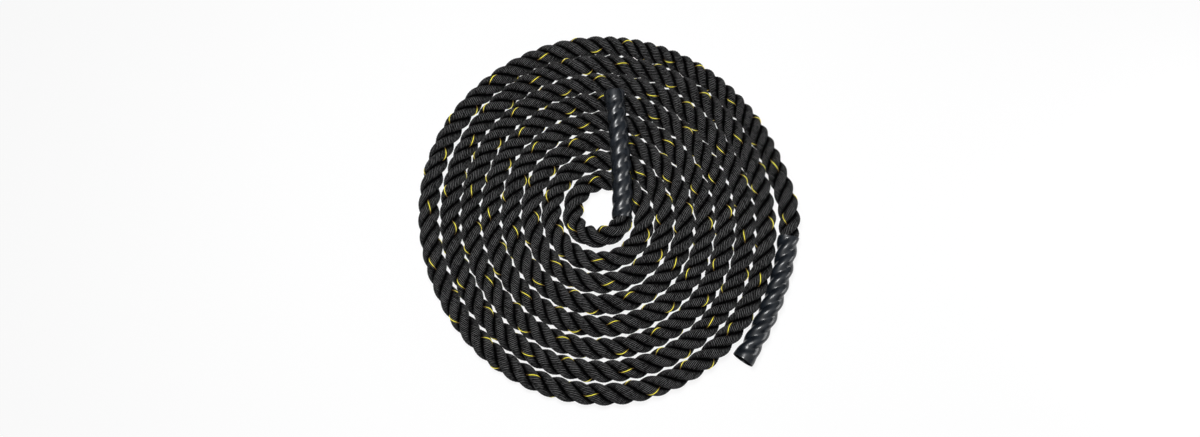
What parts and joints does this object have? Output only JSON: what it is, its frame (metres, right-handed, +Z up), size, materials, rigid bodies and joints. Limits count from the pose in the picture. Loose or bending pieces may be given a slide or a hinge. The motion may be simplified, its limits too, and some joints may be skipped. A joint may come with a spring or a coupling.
{
  "type": "battle rope",
  "caption": "Thick three-strand training rope laid down as a flat spiral coil, with a heat-shrunk sleeve as the handle on each end, one beside the coil and one across its top.",
  "frame": {"origin": "on the floor, at the middle of the outline seen from above", "axes": "+Z up, square to the floor that the coil lies on; +X towards the side where the outer handle lies; +Y the way the inner handle points"},
  "size_m": [0.6872, 0.686, 0.0774],
  "materials": {
    "rope": "matt black laid synthetic fibre",
    "sleeve": "glossy blue-black heat-shrunk film",
    "tape": "satin black binding tape",
    "tracer": "matt yellow tracer yarn, added by the visual model"
  },
  "bodies": {
    "coil": {"rope_coil": "rope"},
    "outer_neck": {"outer_neck": "rope"},
    "outer_handle": {"outer_sleeve": "sleeve", "outer_end_tape": "tape", "outer_strand_1": "rope", "outer_strand_2": "rope", "outer_strand_3": "rope"},
    "inner_neck": {"inner_neck": "rope"},
    "inner_handle": {"inner_sleeve": "sleeve", "inner_end_tape": "tape", "inner_strand_1": "rope", "inner_strand_2": "rope", "inner_strand_3": "rope"}
  },
  "joints": [
    {"name": "outer_swing", "type": "hinge", "parent": "coil", "child": "outer_neck", "pos_m": [0.31043, 0.06569, 0.01688], "axis": [0, 0, 1], "range_deg": [0, 60], "deforming": ["outer_neck"]},
    {"name": "outer_lift", "type": "hinge", "parent": "outer_neck", "child": "outer_handle", "pos_m": [0.32557, -0.00753, 0.01912], "axis": [-0.9912, 0.1323, 0], "range_deg": [0, 60], "deforming": ["outer_neck"]},
    {"name": "inner_lift", "type": "hinge", "parent": "coil", "child": "inner_neck", "pos_m": [-0.01849, -0.0554, 0.04088], "axis": [1, 0, 0], "range_deg": [0, 60], "deforming": ["inner_neck"]},
    {"name": "inner_swing", "type": "hinge", "parent": "inner_neck", "child": "inner_handle", "pos_m": [0.00964, -0.04785, 0.05309], "axis": [0, 0, 1], "range_deg": [-40, 40], "deforming": ["inner_neck"]}
  ]
}
